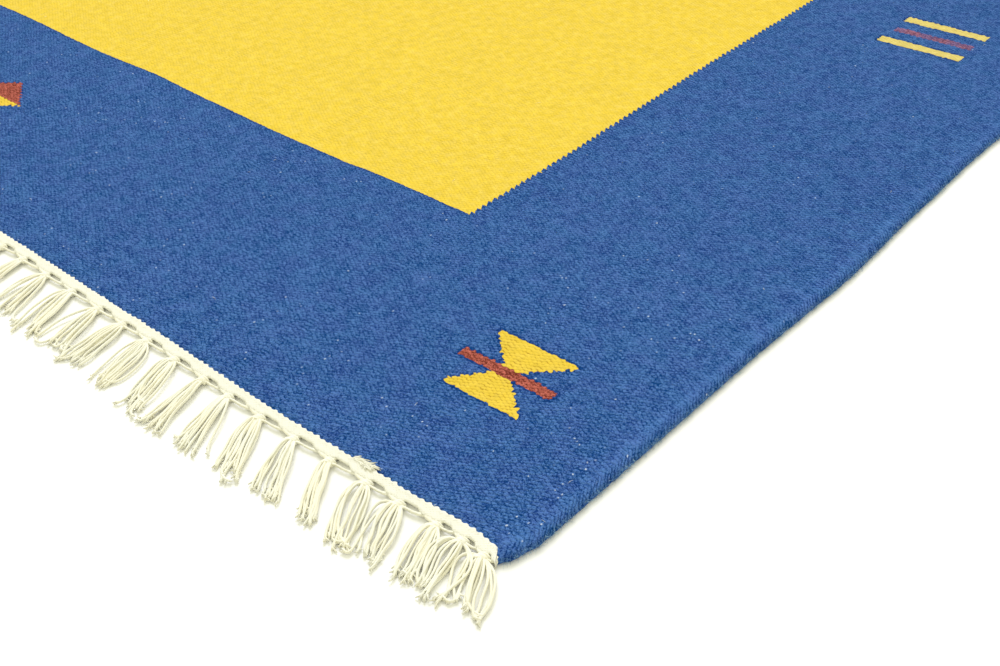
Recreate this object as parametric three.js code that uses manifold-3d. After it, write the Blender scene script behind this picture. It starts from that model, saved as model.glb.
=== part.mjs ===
// A flat-woven wool kilim rug with a knotted cotton fringe at both ends, lying on a floor.
// Millimetres, +Z up. The origin is on the floor under the middle of the rug: X runs across
// the width and Y along the warps. The near corner is the one at +X and -Y. The rug looks the
// same after half a turn, so the far end and the left selvedge repeat the near and the right.
import * as THREE from "three";
import { mergeVertices } from "three/addons/utils/BufferGeometryUtils.js";
import Module from "manifold-3d";

const wasm = await Module();
wasm.setup();

// Cloth
const WIDTH = 1700;
const LENGTH = 2400;
const CLOTH_THICKNESS = 4.4;
const UNEVENNESS = 0.25;
const SWELL_ACROSS = 610;
const SWELL_ALONG = 470;
const UNDERSIDE_INSET = 1.2;
const CORNER_DROP = 10;
const LONGEST_STEP = 190;
const CURL_REACH = 60;

// The rolled selvedge: how high the cloth stands at each distance in from its edge.
const SELVEDGE = [
  { inset: 0, height: 2.2 },
  { inset: 1, height: 4.3 },
  { inset: 4, height: 5.2 },
  { inset: 9, height: 5.0 },
  { inset: 14, height: CLOTH_THICKNESS },
];
const SELVEDGE_WIDTH = SELVEDGE[SELVEDGE.length - 1].inset;

// How far the right selvedge bulges out of line, by the distance along it from the near end.
const SELVEDGE_SWAY = [
  { at: -CORNER_DROP, out: -9.5 },
  { at: 2, out: -3.5 },
  { at: 20, out: 0.5 },
  { at: 250, out: 1 },
  { at: 385, out: 4.5 },
  { at: 500, out: 0.5 },
  { at: 610, out: -2 },
  { at: 820, out: 1 },
  { at: 1150, out: -1.5 },
  { at: 1500, out: 2 },
  { at: 1850, out: -1 },
  { at: 2150, out: 1.5 },
  { at: LENGTH - 20, out: 0.5 },
  { at: LENGTH - 2, out: -3.5 },
  { at: LENGTH + CORNER_DROP, out: -9.5 },
];

// How far the near end bulges out of line at a distance in from the near corner, and at the
// same distance in from the other corner.
const END_BULGES = [
  { at: 9.5, out: CORNER_DROP, otherOut: CORNER_DROP },
  { at: 20, out: -0.5, otherOut: -0.5 },
  { at: 44, out: -2, otherOut: -1.5 },
  { at: 100, out: 0.5, otherOut: 0.5 },
  { at: 230, out: 2.8, otherOut: -1 },
  { at: 400, out: 0, otherOut: 2 },
  { at: 575, out: -1.2, otherOut: -1 },
];
const END_SWAY = [
  ...END_BULGES.map(({ at, out }) => ({ at, out })),
  { at: WIDTH / 2, out: 1 },
  ...END_BULGES.map(({ at, otherOut }) => ({ at: WIDTH - at, out: otherOut })).reverse(),
];

// End band and fringe
const PIECE_GAP = 0.3;
const BAND_WIDTH = 9.5;
const BAND_LEAST_WIDTH = 1;
const BAND_THICKNESS = 3.2;
const BAND_MAX_SWAY = 3;
const KNOT_WIDTH = 9.4;
const KNOT_DEPTH = 7.5;
const KNOT_HEIGHT = 4.6;
const KNOT_SIDES = 4;
const KNOT_TOP = 0.6;
const KNOT_OUT = 9.5;
const KNOT_COUNT = 50;
const FIRST_KNOT_GAPS = [22, 18, 28, 30, 29, 35, 36, 36, 33, 31, 36, 38, 37, 35, 43, 46];
const LAST_KNOT = WIDTH - 22;
const KNOT_SHIFT = 4;
const LOCKS_A_TASSEL = 3;
const LOCKS_WHERE_CROWDED = 2;
const CROWDED_GAP = 26;
const LOCK_LENGTH = 52;
const LOCK_LENGTH_SPREAD = 4;
const LOCK_BEND = 24;
const LOCK_STEPS = 2;
const LOCK_ROOT_WIDTH = 2.4;
const LOCK_TIP_WIDTH = 3.2;
const LOCK_HEIGHT = 2.4;
const ROOT_SPACING = 3.1;
const FAN_SPACING = 10.5;
const NARROWEST_FAN = 0.75;
const USUAL_GAP = 34;
const LEAN = 15;
const LEAN_SWING = 8;
const LEAN_WAVE = 150;
const LEAN_PHASE = 1;

// Materials
const blueWool = new THREE.MeshStandardMaterial({ color: "#3f659f", roughness: 0.95, metalness: 0 });
const creamCotton = new THREE.MeshStandardMaterial({ color: "#f3eddc", roughness: 0.9, metalness: 0 });

// A repeatable offset between -1 and 1 for the piece with this index.
function unevenBy(index, kind) {
  const wave = Math.sin(index * 12.9898 + kind * 78.233) * 43758.5453;
  return 2 * (wave - Math.floor(wave)) - 1;
}

// The value of a sway table at a distance, easing from row to row.
function swayAt(table, distance) {
  const next = table.findIndex((row) => row.at >= distance);
  if (next <= 0) {
    return next < 0 ? table[table.length - 1].out : table[0].out;
  }
  const from = table[next - 1];
  const to = table[next];
  return THREE.MathUtils.lerp(from.out, to.out, THREE.MathUtils.smoothstep(distance, from.at, to.at));
}

// The rows of a sway table, with enough steps between them to follow its curve, which is
// tightest at the corners.
function stations(table) {
  const places = [table[0].at];
  for (let i = 1; i < table.length; i++) {
    const span = table[i].at - table[i - 1].at;
    const steps = span < CURL_REACH ? 2 : Math.ceil(span / LONGEST_STEP);
    for (let k = 1; k <= steps; k++) {
      places.push(table[i - 1].at + (span * k) / steps);
    }
  }
  return places;
}

const rightEdge = (y) => WIDTH / 2 + swayAt(SELVEDGE_SWAY, y + LENGTH / 2);
const leftEdge = (y) => -rightEdge(-y);
const nearEdge = (x) => -LENGTH / 2 - swayAt(END_SWAY, WIDTH / 2 - x);
const farEdge = (x) => -nearEdge(-x);

// The cloth's columns from left to right: a selvedge, the flat weave and the other selvedge.
function clothColumns() {
  const inner = SELVEDGE_WIDTH + END_SWAY[0].at;
  const flat = stations(END_SWAY).filter((at) => at > inner && at < WIDTH - inner);
  const shares = [0, ...flat.map((at) => (at - inner) / (WIDTH - 2 * inner)), 1].reverse();
  const flatColumns = shares.slice(1, -1).map((share) => ({ share, height: CLOTH_THICKNESS }));
  const left = SELVEDGE.map(({ inset, height }) => ({ side: -1, inset, height }));
  const right = SELVEDGE.map(({ inset, height }) => ({ side: 1, inset, height })).reverse();
  return [...left, ...flatColumns, ...right];
}

// Where a column crosses the row whose selvedges are at this y.
function columnX(column, y) {
  if (column.side === 1) {
    return rightEdge(y) - column.inset;
  }
  if (column.side === -1) {
    return leftEdge(y) + column.inset;
  }
  return THREE.MathUtils.lerp(rightEdge(y) - SELVEDGE_WIDTH, leftEdge(y) + SELVEDGE_WIDTH, column.share);
}

function clothPoint(column, along) {
  const nearest = -LENGTH / 2 - CORNER_DROP;
  const y = THREE.MathUtils.lerp(nearest, -nearest, along);
  const x = columnX(column, y);
  const near = nearEdge(columnX(column, nearest));
  const far = farEdge(columnX(column, -nearest));
  return new THREE.Vector3(x, THREE.MathUtils.lerp(near, far, along), column.height);
}

// The flat weave is a little thicker in some places than in others.
function swell(x, y) {
  return UNEVENNESS * Math.sin((2 * Math.PI * x) / SWELL_ACROSS) * Math.cos((2 * Math.PI * y) / SWELL_ALONG);
}

function clothGrid() {
  const columns = clothColumns();
  const reach = LENGTH + 2 * CORNER_DROP;
  const rows = stations(SELVEDGE_SWAY).map((at) => (at + CORNER_DROP) / reach);
  const top = rows.map((along) =>
    columns.map((column) => {
      const point = clothPoint(column, along);
      if (column.side === undefined) {
        point.z += swell(point.x, point.y);
      }
      return point;
    })
  );
  const bottom = top.map((row) =>
    row.map((point, i) => {
      const side = columns[i].inset === 0 ? columns[i].side : 0;
      return new THREE.Vector3(point.x - side * UNDERSIDE_INSET, point.y, 0);
    })
  );
  return { top, bottom };
}

// A closed solid between an upper and a lower grid, with rows towards +Y and columns towards +X.
function slab({ top, bottom }) {
  const rows = top.length;
  const columns = top[0].length;
  const points = [...top.flat(), ...bottom.flat()];
  const upper = (i, j) => i * columns + j;
  const lower = (i, j) => rows * columns + upper(i, j);
  const index = [];
  const quad = (a, b, c, d) => index.push(a, b, c, a, c, d);
  for (let i = 0; i < rows - 1; i++) {
    for (let j = 0; j < columns - 1; j++) {
      quad(upper(i, j), upper(i, j + 1), upper(i + 1, j + 1), upper(i + 1, j));
      quad(lower(i + 1, j), lower(i + 1, j + 1), lower(i, j + 1), lower(i, j));
    }
    const last = columns - 1;
    quad(lower(i + 1, 0), lower(i, 0), upper(i, 0), upper(i + 1, 0));
    quad(lower(i, last), lower(i + 1, last), upper(i + 1, last), upper(i, last));
  }
  for (let j = 0; j < columns - 1; j++) {
    const last = rows - 1;
    quad(lower(0, j), lower(0, j + 1), upper(0, j + 1), upper(0, j));
    quad(lower(last, j + 1), lower(last, j), upper(last, j), upper(last, j + 1));
  }
  return new THREE.BufferGeometry().setFromPoints(points).setIndex(index);
}

// The band's strip of plain weave, whose inner edge follows the cloth's end a small gap away.
function bandStrip(clothEnd) {
  const edge = clothEnd.slice(1, -1);
  const outer = edge.map((point) => {
    const sway = Math.min(swayAt(END_SWAY, WIDTH / 2 - point.x), BAND_MAX_SWAY);
    const y = Math.min(-LENGTH / 2 - sway - BAND_WIDTH, point.y - PIECE_GAP - BAND_LEAST_WIDTH);
    return new THREE.Vector3(point.x, y, BAND_THICKNESS);
  });
  const inner = edge.map((point, i) => {
    const before = clothEnd[i];
    const after = clothEnd[i + 2];
    const slopes = [before, after].map((other) => (other.y - point.y) / (other.x - point.x));
    const steepest = Math.max(...slopes.map(Math.abs));
    return new THREE.Vector3(point.x, point.y - PIECE_GAP * Math.hypot(1, steepest), BAND_THICKNESS);
  });
  const top = [outer, inner];
  const bottom = top.map((row) => row.map((point) => point.clone().setZ(0)));
  return slab({ top, bottom });
}

// The distances of the knots from the near corner.
function knotPlaces() {
  const places = [];
  let at = 0;
  for (const gap of FIRST_KNOT_GAPS) {
    at += gap;
    places.push(at);
  }
  const left = KNOT_COUNT - places.length;
  for (let k = 1; k <= left; k++) {
    const shift = k < left ? KNOT_SHIFT * unevenBy(k, 1) : 0;
    places.push(at + ((LAST_KNOT - at) * k) / left + shift);
  }
  return places;
}

function knot(x, y) {
  const corner = Math.SQRT1_2;
  const shape = new THREE.CylinderGeometry(corner * KNOT_TOP, corner, 1, KNOT_SIDES);
  shape.rotateY(Math.PI / KNOT_SIDES);
  shape.rotateX(Math.PI / 2);
  shape.translate(0, 0, 0.5);
  shape.scale(KNOT_WIDTH, KNOT_DEPTH, KNOT_HEIGHT);
  shape.translate(x, y, 0);
  return shape;
}

// A lock of yarns on the floor: three sides, one of them lying flat, along a curve from the knot.
function lock(root, tip) {
  const bend = new THREE.Vector2(root.x, root.y - LOCK_BEND);
  const route = new THREE.QuadraticBezierCurve(root, bend, tip);
  const points = [];
  const index = [];
  for (let i = 0; i <= LOCK_STEPS; i++) {
    const centre = route.getPoint(i / LOCK_STEPS);
    const ahead = route.getTangent(i / LOCK_STEPS);
    const half = THREE.MathUtils.lerp(LOCK_ROOT_WIDTH, LOCK_TIP_WIDTH, i / LOCK_STEPS) / 2;
    const side = new THREE.Vector3(ahead.y, -ahead.x, 0).multiplyScalar(half);
    const foot = new THREE.Vector3(centre.x, centre.y, 0);
    points.push(foot.clone().add(side), foot.clone().sub(side), foot.clone().setZ(LOCK_HEIGHT));
  }
  for (let i = 0; i < LOCK_STEPS; i++) {
    for (let k = 0; k < 3; k++) {
      const a = 3 * i + k;
      const b = 3 * i + ((k + 1) % 3);
      index.push(a, b, b + 3, a, b + 3, a + 3);
    }
  }
  const end = 3 * LOCK_STEPS;
  index.push(0, 2, 1, end, end + 1, end + 2);
  return new THREE.BufferGeometry().setFromPoints(points).setIndex(index);
}

// The locks of one tassel, fanned out and leaning towards the near corner.
function tassel(place, gap, number) {
  const x = WIDTH / 2 - place;
  const y = -LENGTH / 2 - Math.min(swayAt(END_SWAY, place), BAND_MAX_SWAY) - KNOT_OUT;
  const lean = LEAN + LEAN_SWING * Math.sin(place / LEAN_WAVE + LEAN_PHASE);
  const fan = FAN_SPACING * THREE.MathUtils.clamp(gap / USUAL_GAP, NARROWEST_FAN, 1);
  const locks = gap < CROWDED_GAP ? LOCKS_WHERE_CROWDED : LOCKS_A_TASSEL;
  const pieces = [knot(x, y)];
  for (let k = 0; k < locks; k++) {
    const step = k - (locks - 1) / 2;
    const reach = LOCK_LENGTH + LOCK_LENGTH_SPREAD * unevenBy(number, 2 + k);
    const root = new THREE.Vector2(x + step * ROOT_SPACING, y);
    const tip = new THREE.Vector2(x + lean + step * fan, y - reach);
    pieces.push(lock(root, tip));
  }
  return pieces;
}

function solidOf(geometry) {
  const bare = geometry.clone();
  bare.deleteAttribute("normal");
  bare.deleteAttribute("uv");
  const merged = mergeVertices(bare);
  return new wasm.Manifold(
    new wasm.Mesh({
      numProp: 3,
      vertProperties: new Float32Array(merged.attributes.position.array),
      triVerts: new Uint32Array(merged.index.array),
    })
  );
}

function joined(geometries) {
  const solid = geometries.map(solidOf).reduce((whole, piece) => whole.add(piece));
  const mesh = solid.getMesh();
  const geometry = new THREE.BufferGeometry();
  geometry.setAttribute("position", new THREE.BufferAttribute(mesh.vertProperties, 3));
  geometry.setIndex(new THREE.BufferAttribute(mesh.triVerts, 1));
  return geometry;
}

function endBand(clothEnd) {
  const places = knotPlaces();
  const tassels = places.flatMap((place, i) => {
    const before = i > 0 ? place - places[i - 1] : USUAL_GAP;
    const after = i < places.length - 1 ? places[i + 1] - place : USUAL_GAP;
    return tassel(place, Math.min(before, after), i);
  });
  return joined([bandStrip(clothEnd), ...tassels]);
}

function named(name, geometry, material) {
  geometry.computeVertexNormals();
  const mesh = new THREE.Mesh(geometry, material);
  mesh.name = name;
  return mesh;
}

const cloth = clothGrid();
const bandShape = endBand(cloth.top[0]);
const rug = new THREE.Group();
rug.add(named("rug_cloth", slab(cloth), blueWool));
rug.add(named("end_band_near", bandShape, creamCotton));
const farBand = named("end_band_far", bandShape.clone(), creamCotton);
farBand.rotation.z = Math.PI;
rug.add(farBand);

export default rug;
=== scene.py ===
"""A flat-woven wool kilim rug with a knotted cotton fringe, lying on a pale floor.

Sizes are in millimetres and turn into metres when a mesh is made. The origin is on the floor
under the rug's middle, X runs across the width and Y along the warps, and the near corner is
the one at +X and -Y. The rug looks the same after half a turn.
"""

import math

import bpy
import numpy as np
from mathutils import Matrix


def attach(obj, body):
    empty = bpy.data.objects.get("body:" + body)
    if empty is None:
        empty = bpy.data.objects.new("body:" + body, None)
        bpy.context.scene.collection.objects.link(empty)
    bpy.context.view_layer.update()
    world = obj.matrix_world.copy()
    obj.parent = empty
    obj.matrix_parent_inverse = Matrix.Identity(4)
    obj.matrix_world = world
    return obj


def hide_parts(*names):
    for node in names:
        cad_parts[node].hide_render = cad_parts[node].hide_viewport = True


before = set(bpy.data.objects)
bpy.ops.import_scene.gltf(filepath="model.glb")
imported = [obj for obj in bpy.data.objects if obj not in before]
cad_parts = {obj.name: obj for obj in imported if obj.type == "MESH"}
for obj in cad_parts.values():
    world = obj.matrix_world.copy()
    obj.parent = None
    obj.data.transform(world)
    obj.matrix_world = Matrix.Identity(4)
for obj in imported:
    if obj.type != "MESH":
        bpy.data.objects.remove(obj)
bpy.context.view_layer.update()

MM = 0.001
TURN = 2 * math.pi
UP = np.array([0.0, 0.0, 1.0])

# Cloth, as in the solids
WIDTH = 1700
LENGTH = 2400
CLOTH_THICKNESS = 4.4
UNEVENNESS = 0.25
SWELL_ACROSS = 610
SWELL_ALONG = 470
UNDERSIDE_INSET = 1.2
CORNER_DROP = 10
SELVEDGE_WIDTH = 14
SELVEDGE_FROM = WIDTH / 2 - SELVEDGE_WIDTH

# The rolled selvedge: how high the cloth stands at each distance in from its edge.
SELVEDGE = [
    (0, 2.2), (0.4, 3.4), (1, 4.3), (2.2, 4.95), (4, 5.2), (6.5, 5.15), (9, 5.0), (11.5, 4.7),
    (SELVEDGE_WIDTH, CLOTH_THICKNESS),
]

# How far the right selvedge bulges out of line, by the distance along it from the near end.
SELVEDGE_SWAY = [
    (-CORNER_DROP, -9.5), (2, -3.5), (20, 0.5), (250, 1), (385, 4.5), (500, 0.5), (610, -2),
    (820, 1), (1150, -1.5), (1500, 2), (1850, -1), (2150, 1.5), (LENGTH - 20, 0.5),
    (LENGTH - 2, -3.5), (LENGTH + CORNER_DROP, -9.5),
]

# How far the near end bulges out of line at a distance in from the near corner, and at the
# same distance in from the other corner.
END_BULGES = [
    (9.5, CORNER_DROP, CORNER_DROP), (20, -0.5, -0.5), (44, -2, -1.5), (100, 0.5, 0.5),
    (230, 2.8, -1), (400, 0, 2), (575, -1.2, -1),
]
END_SWAY = (
    [(at, out) for at, out, _ in END_BULGES]
    + [(WIDTH / 2, 1)]
    + [(WIDTH - at, out) for at, _, out in reversed(END_BULGES)]
)

# The cloth's fine shape. The edges' sway dies out inwards with the power SWAY_FADE.
INNER_COLUMNS = 111
COLUMNS_A_SPAN = 8
ROW_STEP = 4
END_ROWS = (0, 1, 2.5)
END_FALL = 1.0
END_FALL_REACH = 4
SIDE_POINT = (0.25, 1.1)
LUMP_OUT = 0.35
LUMP_UP = 0.22
LUMP_FLAT = 0.12
CLOTH_SEED = 11
EDGE_DRAWN_IN = 1.8
SWAY_FADE = 4

# The border: how wide it is at the ends and the sides, and how far the field's near edge
# strays inwards, by the distance in from the near corner.
END_BORDER = 268.8
SIDE_BORDER = 292.6
FIELD_SWAY = [
    (300, 1.6), (400, 1.4), (450, -1.9), (550, -3.1), (650, -1.5), (740, 1.4), (850, -1.4),
    (1000, 2.3), (1200, 0),
]
FIELD_SWAY_REACH = 220

# Weave. A loop is a low dome over its warp, which falls away across and along it.
WARP_PITCH = 3.1
LOOP_PITCH = 3.623
LOOP_FALL_ACROSS = 1.3
LOOP_FALL_ALONG = 3.2
LOOP_UNEVENNESS = 0.3
COLUMN_SHIFT = 0.35

# How far the weave wanders in lumps of a size, and how far its edge is drawn in at the selvedge
WANDER = 1.6
WANDER_SIZE = 12
CURL_ACROSS = 1.6
CURL_ALONG = 1.8
CURL_SIZE = 2.6
SELVEDGE_DRAW = 2.5

# The field's sides have a tooth to every two loops: how far outside the border's width it begins
# and how deep it is. A seam of shade lies along each edge of the field: how far out it is and
# half its width.
FIELD_TOOTH_OUT = 0.8
FIELD_TOOTH = 4.0
END_SEAM = (0.6, 0.9)
SIDE_SEAM = (2, 2)

# Stepped triangles: how far they rise between one step and the next, and for each its length,
# half its narrow end, how much each half widens at a step and how wide a half gets at most.
STEP_UP = 3.623
UPPER_TRIANGLE = (31.9, 8.6, 3.9, 37.6)
LOWER_TRIANGLE = (31.2, 8.8, 3.6, 35.0)
DIAMOND = (31, 3.5, 5.2, 99.0)

# Where the corner motif lies, by its distances in from the side and from the end: the middles
# of its two triangles, where they begin and how fast the lower one strays from straight.
UPPER_IN = 126.3
UPPER_FROM = 135.5
LOWER_IN = 126.9
LOWER_FROM = 128.2
LOWER_STRAY = 0.15

# Its red bar: the distance in from the end, half the length and half the width
CORNER_BAR = (131, 44.2, 4.9)

# The diamond in the middle of each end, two triangles base to base: how far in its widest line
# is, half its height, and how far it lies off the rug's middle.
DIAMOND_FROM_END = 142.8
DIAMOND_HALF = 30.4
DIAMOND_ASIDE = 5

# The pairs of yellow bars along the sides, with a faded line between: how far the middle of a
# pair is from the end, how far each bar lies from that middle, how far in from the side bars and
# line are, and half their lengths and widths.
BARS_FROM_END = 811.4
BAR_FROM_MIDDLE = 28.8
BARS_IN = 143.9
BARS_HALF = (44.5, 6.2)
LINE_IN = 143.6
LINE_HALF = (42.5, 5.2)

# How wide the shade round a mark is, and how much a mark's edge cuts across its loops, from 0,
# where every loop has one colour, to 1, where the edge is as smooth as drawn.
OUTLINE = 1.7
ACROSS_LOOPS = 0.45

# End band and fringe, as in the solids, but for the knots' places, which differ by up to 20
PIECE_GAP = 0.3
BAND_LEAST_WIDTH = 1
BAND_MAX_SWAY = 3
BAND_REACH = 839.3
KNOT_COUNT = 50
FIRST_KNOT_GAPS = [22, 19, 22, 32, 30, 35, 36, 36, 36, 30, 36, 36, 33, 33, 38, 38]
LAST_KNOT = WIDTH - 22
KNOT_SHIFT = 4
LEAN = 15
LEAN_SWING = 8
LEAN_WAVE = 150
LEAN_PHASE = 1

# The band's fine shape: its height at each share of the way out, and how far its outer edge
# lies from the cloth. Its roughness is outwards and upwards. Beside each knot, on the side of the
# near corner, a slot is left open.
BAND_ROWS = ((0, 4.1), (0.12, 4.6), (0.3, 4.2), (0.5, 4.0), (0.7, 4.1), (0.88, 3.9), (1, 3.1))
BAND_RIB = 0.1
BAND_ROUGHNESS = (0.08, 0.06)
BAND_UNDERCUT = 2.6
BAND_OUT = 9.0
BAND_OUT_AT_SLOT = 6.3
SLOT = (0.42, 0.6, 0.93, 0.99)
PICK_PITCH = 2.4
TOOTH_PITCH = 6.2
TOOTH_LENGTH = 2.1
TOOTH_FADE = 20
KNOT_OUT = 10.5
BAND_SEED = 5

# How the tassels lie, from the near corner on: how far a tassel leans towards that corner, how
# far out it reaches, how far its yarns spread to either side and how full its shoulders are.
TASSELS = [
    (18, 38, 15, 1.0), (11, 43, 16, 1.4), (15, 43, 10, 0.9), (19, 44, 14, 1.25),
    (25, 46, 12, 1.1), (28, 45, 8, 0.8), (26, 48, 11, 0.6), (26, 50, 12, 0.7),
    (19, 53, 11, 0.45), (13, 54, 12, 0.4), (18, 52, 11, 0.9), (12, 50, 13, 1.1),
    (5, 52, 12, 0.6), (12, 50, 10, 0.5), (14, 52, 14, 0.8), (9, 50, 12, 0.5),
]
USUAL_OUT = 50
USUAL_SPREAD = 13

# Knots
KNOT_CORE = (4.3, 3.4, 2.2)
KNOT_CORE_SIDES = 10
KNOT_CORE_RINGS = 7
KNOT_WRAPS = ((-1.7, 0.5), (0.4, -0.4), (2.2, 0.6))
WRAP_ACROSS = 3.9
WRAP_FOOT = 1.0
WRAP_RISE = 2.5
WRAP_STEPS = 10
WRAP_SIDES = 6

# Fringe yarns
YARN_RADIUS = 1.1
YARN_SIDES = 5
PLY_TURN = 9
YARN_ROOTS = (-0.38, -0.32, -0.26, -0.2, -0.15, -0.1, -0.06, -0.02, 0.02, 0.05, 0.62, 0.69)
FAR_ROOT = 0.5
ROOT_STEPS = 6
YARN_STEPS = 20
STRAY_CHANCE = 0.12
HOOK_CHANCE = 0.14
HOOK_REACH = (6, 15)
PILE_HEIGHT = 2.8
FRAYS = 5
FRAY_LENGTH = (2, 5)
FRAY_STEPS = 4
FRAY_RADII = (1.0, 0.5)
FRAY_SIDES = 3

# Each end's name, whether it is turned round and the seed of its fringe
ENDS = (("near", False, 1), ("far", True, 2))

# Wool fuzz
FUZZ_A_SIDE = 5000
FUZZ_LENGTH = (1.2, 5.0)
FUZZ_HEIGHT = (0.5, 4.4)
FUZZ_RADII = (0.11, 0.08, 0.03)
FUZZ_PAST_END = 6
FUZZ_SEED = 3

# Stray cotton: single fibres by their distances in from the near corner, others anywhere, and a
# tuft that lies over the band's edge.
SEEN_FIBRES = [(38, 329), (7, 34), (20, 75)]
LOOSE_FIBRES = 40
LOOSE_LENGTH = (2.5, 7)
LOOSE_RADII = (0.06, 0.11, 0.13, 0.1, 0.05)
LOOSE_SEED = 21
TUFT_PLACE = (131, 149)
TUFT_FIBRES = 70
TUFT_LENGTH = (4, 8)
TUFT_RADII = (0.45, 0.5, 0.4, 0.15)

# Camera, as in the photograph: its place in metres, its angles in degrees, its lens in millimetres
CAMERA_PLACE = (1.2180, -1.5848, 0.5864)
CAMERA_AZIMUTH = 44.105
CAMERA_DOWN = 37.364
CAMERA_ROLL = -3.574
CAMERA_LENS = 46.12

# A large floor just under the rug, in metres, and the light: a warm room and a broad, cool
# window, whose light is tilted from straight down and then turned round the upright, in degrees.
FLOOR_REACH = 20.0
FLOOR_LOW = -0.0003
ROOM_COLOUR = (1, 0.99, 0.78, 1)
ROOM_STRENGTH = 0.92
WINDOW_COLOUR = (0.80, 0.82, 1.0)
WINDOW_STRENGTH = 2.6
WINDOW_WIDTH = 35
WINDOW_TILT = 54
WINDOW_TURN = 225


def sway_at(table, at):
    """How far a table's line is out of straight at these distances, easing from row to row."""
    places, outs = np.array(table, float).T
    later = np.clip(np.searchsorted(places, at), 1, len(places) - 1)
    span = places[later] - places[later - 1]
    return lerp(outs[later - 1], outs[later], smooth((at - places[later - 1]) / span))


def lerp(a, b, share):
    return a + (b - a) * share


def smooth(share):
    share = np.clip(share, 0, 1)
    return share * share * (3 - 2 * share)


def uneven_by(index, kind):
    """A repeatable offset between -1 and 1 for the piece with this index, as in the solids."""
    wave = math.sin(index * 12.9898 + kind * 78.233) * 43758.5453
    return 2 * (wave - math.floor(wave)) - 1


def right_edge(y):
    return WIDTH / 2 + sway_at(SELVEDGE_SWAY, y + LENGTH / 2) - EDGE_DRAWN_IN


def left_edge(y):
    return -right_edge(-y)


def near_edge(x):
    return -LENGTH / 2 - sway_at(END_SWAY, WIDTH / 2 - x)


def far_edge(x):
    return -near_edge(-x)


def loft(rings, capped=True):
    """Faces between rings of points, each ring turning leftwards round the way they go."""
    count, size = rings.shape[:2]
    ring, point = np.meshgrid(np.arange(count - 1), np.arange(size), indexing="ij")
    ahead = (point + 1) % size
    corners = [ring * size + point, ring * size + ahead]
    corners += [(ring + 1) * size + ahead, (ring + 1) * size + point]
    faces = np.stack(corners, -1).reshape(-1, 4).tolist()
    if capped:
        last = (count - 1) * size
        faces.append(list(range(size))[::-1])
        faces.append([last + i for i in range(size)])
    return faces


def add_piece(name, points, faces, material, marks=None):
    """A smooth mesh in metres that rides on the rug. marks are vectors kept at its points."""
    mesh = bpy.data.meshes.new(name)
    mesh.from_pydata((np.asarray(points) * MM).tolist(), [], faces)
    mesh.polygons.foreach_set("use_smooth", [True] * len(mesh.polygons))
    for key, values in (marks or {}).items():
        layer = mesh.attributes.new(key, "FLOAT_VECTOR", "POINT")
        layer.data.foreach_set("vector", np.asarray(values, np.float32).ravel())
    mesh.update()
    piece = bpy.data.objects.new(name, mesh)
    bpy.context.scene.collection.objects.link(piece)
    mesh.materials.append(material)
    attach(piece, "root")
    return piece


class Bundle:
    """Tubes gathered into one mesh, with what their material needs to know at each point."""

    def __init__(self):
        self.points = []
        self.strands = []
        self.faces = []
        self.size = 0

    def add(self, rings, strands, faces):
        points = rings.reshape(-1, 3)
        self.points.append(points)
        self.strands.append(strands.reshape(-1, 3))
        self.faces.extend([[i + self.size for i in face] for face in faces])
        self.size += len(points)

    def tube(self, path, radii, sides, reference=UP):
        """A tube along a path. Its strand mark is the direction round it and the way along."""
        path = np.asarray(path, float)
        ahead = np.gradient(path, axis=0)
        ahead /= np.linalg.norm(ahead, axis=1, keepdims=True)
        side = np.cross(ahead, reference)
        side /= np.linalg.norm(side, axis=1, keepdims=True)
        below = np.cross(ahead, side)
        angle = TURN * np.arange(sides) / sides
        round_it = np.cos(angle)[:, None] * side[:, None] + np.sin(angle)[:, None] * below[:, None]
        rings = path[:, None] + np.asarray(radii)[:, None, None] * round_it
        steps = np.linalg.norm(np.diff(path, axis=0), axis=1)
        along = np.concatenate([[0], np.cumsum(steps)])
        strands = np.empty(rings.shape)
        strands[..., 0] = np.cos(angle)
        strands[..., 1] = np.sin(angle)
        strands[..., 2] = along[:, None]
        self.add(rings, strands, loft(rings))

    def piece(self, name, material, slot, turned=False):
        points = np.concatenate(self.points)
        if turned:
            points = points * [-1, -1, 1]
        marks = {"strand": np.concatenate(self.strands)}
        return add_piece(name, points, self.faces, material, marks)


# Cloth


def across(u, y):
    """Where the column that would lie at u, were the rug straight, crosses the line at y."""
    share = np.clip(0.5 + 0.5 * u / SELVEDGE_FROM, 0, 1)
    right = (right_edge(y) - WIDTH / 2) * share ** SWAY_FADE
    left = (left_edge(y) + WIDTH / 2) * (1 - share) ** SWAY_FADE
    return u + right + left


def cloth_place(u, v):
    """Where a point of the cloth lies that would be at u, v if the rug were straight."""
    reach = LENGTH / 2 + CORNER_DROP
    x = across(u, v * reach / (LENGTH / 2))
    near = near_edge(across(u, -reach + 0 * v))
    far = far_edge(across(u, reach + 0 * v))
    y = lerp(near, far, v / LENGTH + 0.5)
    end = np.where(v < 0, -1, 1)
    stray = -end * sway_at(FIELD_SWAY, WIDTH / 2 + end * x)
    beside = smooth(1 - abs(abs(v) - LENGTH / 2 + END_BORDER) / FIELD_SWAY_REACH)
    inside = smooth((WIDTH / 2 - abs(u)) / SIDE_BORDER)
    return x, lerp(y, v + stray, beside * inside)


def swell(x, y):
    """The flat weave is a little thicker in some places than in others."""
    return UNEVENNESS * np.sin(TURN * x / SWELL_ACROSS) * np.cos(TURN * y / SWELL_ALONG)


def cloth_rows():
    ends = LENGTH / 2 - np.array(END_ROWS, float)
    inner = LENGTH / 2 - END_FALL_REACH
    middle = np.linspace(-inner, inner, 1 + round(2 * inner / ROW_STEP))
    return np.concatenate([-ends, middle, ends[::-1]])


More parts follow.
